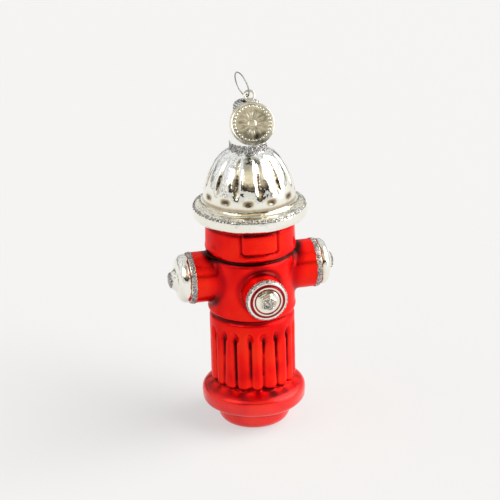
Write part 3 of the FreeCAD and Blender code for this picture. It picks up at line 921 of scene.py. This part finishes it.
def tag_relief(r, turn):
    """Height of the struck face: raised rim, ring of beads, twelve soft petals and a centre boss."""
    rim = 0.2 * smooth_step(r, 6.45, 6.75)
    line_r, bead_r = 5.75, 0.4
    bead_turn = (turn * TAG_BEADS / (2 * math.pi)) % 1.0 - 0.5
    across = bead_turn * 2 * math.pi * line_r / TAG_BEADS
    bead = 0.12 * np.sqrt(np.clip(1 - ((r - line_r) / bead_r) ** 2 - (across / bead_r) ** 2, 0, 1))
    window = smooth_step(r, 1.5, 3.0) * (1 - smooth_step(r, 3.4, 5.1))
    petal = 0.12 * (0.5 + 0.5 * np.cos(TAG_PETALS * turn)) * window
    boss = 0.22 * np.sqrt(np.clip(1 - (r / 1.35) ** 2, 0, 1))
    field_dish = -0.08 * smooth_step(6.4 - r, 0, 2.5)
    return rim + bead + petal + boss + field_dish


def medallion(material):
    """Struck round tag with a wire-like eyelet on a short stem."""
    eyelet, normal, down = tag_axes()
    across = np.cross(normal, down)
    flat_r, corner = 6.9, 0.4
    corner_radii = TAG_R - corner * np.cos(np.linspace(0.1, 1.45, 6))
    radii = np.concatenate([np.linspace(0.05, flat_r, 92), corner_radii, [TAG_R]])
    thin_from, thin_width, thinnest = 6.95, 0.36, 0.02
    turn = 2 * math.pi * np.arange(TAG_COLUMNS) / TAG_COLUMNS
    rows, lower, darkening = [], [], []
    for side, share in ((1, 1), (-1, BACK_RELIEF)):
        for r in radii[::side]:
            edge = math.sqrt(max(1 - max(0.0, (r - thin_from) / thin_width) ** 2, thinnest))
            relief = tag_relief(np.full(TAG_COLUMNS, r), turn) * share
            height = side * (TAG_HALF + relief) * edge
            lower.append(r * np.cos(turn))
            # painted shade in the low parts of the relief
            darkening.append(0.3 * (1 - smooth_step(relief, -0.08, 0.12)))
            rows.append(np.outer(r * np.cos(turn), down) + np.outer(r * np.sin(turn), across)
                        + np.outer(height, normal))
    points = np.concatenate(rows) + eyelet + down * TAG_DROP
    faces = grid_faces(len(rows), TAG_COLUMNS)
    last = (len(rows) - 1) * TAG_COLUMNS
    faces.append(tuple(range(TAG_COLUMNS - 1, -1, -1)))
    faces.append(tuple(range(last, last + TAG_COLUMNS)))
    disc = add_piece("struck_tag", points, faces, "tag", material)
    lower = np.concatenate(lower)
    # painted shade that grows towards the tag's lower edge, on top of the shade in the low parts of the
    # relief
    add_values(disc, "painted_shade", 0.7 * smooth_step(lower, 1.0, 7.0) + np.concatenate(darkening))
    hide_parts("medallion")
    points, faces = eyelet_ring(eyelet, normal, down, across)
    add_piece("tag_eyelet", points, faces, "tag", material)


def eyelet_ring(eyelet, normal, down, across):
    """Flattened ring that thickens into a stem towards the disc."""
    columns, around = 96, 20
    squareness, half_height = 0.7, 0.3
    points = []
    for j in range(columns):
        turn = 2 * math.pi * j / columns
        stem = max(0.0, math.cos(turn)) ** 5
        out = down * math.cos(turn) + across * math.sin(turn)
        inner, outer = 1.25, 1.95 + 0.65 * stem
        middle, half = (inner + outer) / 2, (outer - inner) / 2
        for k in range(around):
            angle = 2 * math.pi * k / around
            soft = np.sign(math.cos(angle)) * abs(math.cos(angle)) ** squareness
            high = np.sign(math.sin(angle)) * abs(math.sin(angle)) ** squareness
            points.append(eyelet + out * (middle + half * soft) + normal * (half_height * high))
    faces = []
    for j in range(columns):
        here, ahead = j * around, ((j + 1) % columns) * around
        for k in range(around):
            beside = (k + 1) % around
            faces.append((here + k, ahead + k, ahead + beside, here + beside))
    return np.array(points), faces


# Studio -----------------------------------------------------------------------------
def rgb(tree, colour):
    node = tree.nodes.new("ShaderNodeRGB")
    node.outputs[0].default_value = (*colour, 1)
    return node.outputs[0]


def sky_spot(tree, direction, ragged, azimuth, elevation, start, full):
    """White round a place on the sky, black away from it; start and full are cosines."""
    turn, rise = math.radians(azimuth), math.radians(elevation)
    dot = add_node(tree, "ShaderNodeVectorMath", operation="DOT_PRODUCT")
    tree.links.new(direction, dot.inputs[0])
    dot.inputs[1].default_value = (math.sin(turn) * math.cos(rise), -math.cos(turn) * math.cos(rise),
                                   math.sin(rise))
    cosine = math_node(tree, "ADD", dot.outputs["Value"], ragged)
    return ramp(tree, cosine, [(start, (0, 0, 0)), (full, (1, 1, 1))])


def studio_world():
    """White tent, bright panel on the right, lit wall on the left, and a warm room behind the camera."""
    world = bpy.data.worlds.new("studio")
    bpy.context.scene.world = world
    world.use_nodes = True
    tree = world.node_tree
    direction = tree.nodes.new("ShaderNodeTexCoord").outputs["Generated"]
    texture = add_node(tree, "ShaderNodeTexNoise", Scale=7.0, Detail=3.0)
    tree.links.new(direction, texture.inputs["Vector"])
    cloud = texture.outputs["Fac"]
    ragged = math_node(tree, "MULTIPLY", math_node(tree, "SUBTRACT", cloud, 0.5), 0.3)
    split = tree.nodes.new("ShaderNodeSeparateXYZ")
    tree.links.new(direction, split.inputs[0])
    height = math_node(tree, "ADD", split.outputs["Z"], math_node(tree, "MULTIPLY", ragged, 0.8))
    tent = ramp(tree, height, [(0.0, (0.8, 0.81, 0.8)), (0.07, (0.86, 0.86, 0.84)),
                               (0.1, (0.16, 0.16, 0.15)), (0.17, (0.34, 0.34, 0.32)),
                               (0.2, (0.92, 0.92, 0.9)), (0.6, (0.95, 0.95, 0.94))])
    room = ramp(tree, height, [(0.0, (0.85, 0.86, 0.84)), (0.17, (0.85, 0.85, 0.82)),
                               (0.2, (0.02, 0.018, 0.015)), (0.27, (0.06, 0.045, 0.035)),
                               (0.38, (0.3, 0.25, 0.18)), (0.56, (1.0, 0.87, 0.62)),
                               (0.75, (0.75, 0.66, 0.48)), (0.95, (0.4, 0.37, 0.3))])
    folds = ramp(tree, cloud, [(0.465, (0, 0, 0)), (0.49, (1, 1, 1)),
                               (0.51, (1, 1, 1)), (0.535, (0, 0, 0))])
    opening = sky_spot(tree, direction, ragged, -12, 30, 0.56, 0.66)
    panel = sky_spot(tree, direction, ragged, 72, 32, 0.8, 0.92)
    side = sky_spot(tree, direction, ragged, -88, 22, 0.7, 0.88)
    lamp = sky_spot(tree, direction, ragged, -62, 40, 0.93, 0.97)
    mirrored = tree.nodes.new("ShaderNodeLightPath").outputs["Is Glossy Ray"]
    walls = mix(tree, tent, side, mix(tree, rgb(tree, WALL_LIGHT), mirrored, WALL_SEEN))
    walls = mix(tree, walls, folds, FOLD_SHADE)
    colour = mix(tree, walls, opening, room)
    colour = mix(tree, colour, panel, mix(tree, rgb(tree, PANEL_LIGHT), mirrored, PANEL_SEEN))
    colour = mix(tree, colour, lamp, LAMP_LIGHT)
    tree.links.new(colour, tree.nodes["Background"].inputs["Color"])
    strength = add_node(tree, "ShaderNodeMapRange", To_Min=TENT_LIGHT, To_Max=TENT_SEEN)
    tree.links.new(mirrored, strength.inputs["Value"])
    tree.links.new(strength.outputs["Result"], tree.nodes["Background"].inputs["Strength"])


def floor():
    """Pale matt floor with a little glow for the camera and for mirror reflections."""
    mesh = bpy.data.meshes.new("floor")
    corners = [(x * FLOOR_HALF, y * FLOOR_HALF, 0) for x, y in ((-1, -1), (1, -1), (1, 1), (-1, 1))]
    mesh.from_pydata(corners, [], [(0, 1, 2, 3)])
    plane = bpy.data.objects.new("floor", mesh)
    bpy.context.scene.collection.objects.link(plane)
    material, tree, shader = new_material("pale_floor", 0.0, 0.9)
    shader.inputs["Base Color"].default_value = (0.25, 0.25, 0.25, 1)
    shader.inputs["Specular IOR Level"].default_value = 0.1
    shader.inputs["Emission Color"].default_value = (1, 1, 1, 1)
    path = tree.nodes.new("ShaderNodeLightPath")
    seen = math_node(tree, "MAXIMUM", path.outputs["Is Camera Ray"], path.outputs["Is Glossy Ray"])
    tree.links.new(math_node(tree, "MULTIPLY", seen, FLOOR_GLOW), shader.inputs["Emission Strength"])
    mesh.materials.append(material)


def camera():
    """Long lens from the front left, a little above, with the picture's small roll."""
    azimuth, elevation, roll = math.radians(-13.5), math.radians(20.5), math.radians(-1.4)
    distance = 0.594
    aim = Vector((0, 0, 0.0772))
    back = Vector((math.sin(azimuth) * math.cos(elevation), -math.cos(azimuth) * math.cos(elevation),
                   math.sin(elevation)))
    right = Vector((math.cos(azimuth), math.sin(azimuth), 0))
    up = back.cross(right)
    data = bpy.data.cameras.new("camera")
    data.lens = 129.6
    data.sensor_width = 36
    data.shift_x = 0.0012
    data.shift_y = -0.0906
    data.clip_start = 0.01
    view = bpy.data.objects.new("camera", data)
    facing = Matrix((right, up, back)).transposed().to_4x4() @ Matrix.Rotation(roll, 4, "Z")
    view.matrix_world = Matrix.Translation(aim + back * distance) @ facing
    bpy.context.scene.collection.objects.link(view)
    bpy.context.scene.camera = view


# The scene --------------------------------------------------------------------------
silver = silver_material()
glass_points, glass_normals, glass_quads = painted_glass(red_material(), silver)
glitter_bands(glass_points, glass_normals, glass_quads, glitter_material())
stamped_cap(metal_material("cap_metal", (0.85, 0.85, 0.82), 0.14))
medallion(metal_material("tag_metal", (0.78, 0.76, 0.68), 0.2))
wire = metal_material("wire", (0.36, 0.37, 0.36), 0.3)
for node, material in (("spring_clip", wire), ("hang_ring", wire), ("silver_lining", silver)):
    slots = frame["nodes"][node].data.materials
    slots.clear()
    slots.append(material)
floor()
studio_world()
camera()
bpy.context.scene.view_settings.view_transform = "Standard"
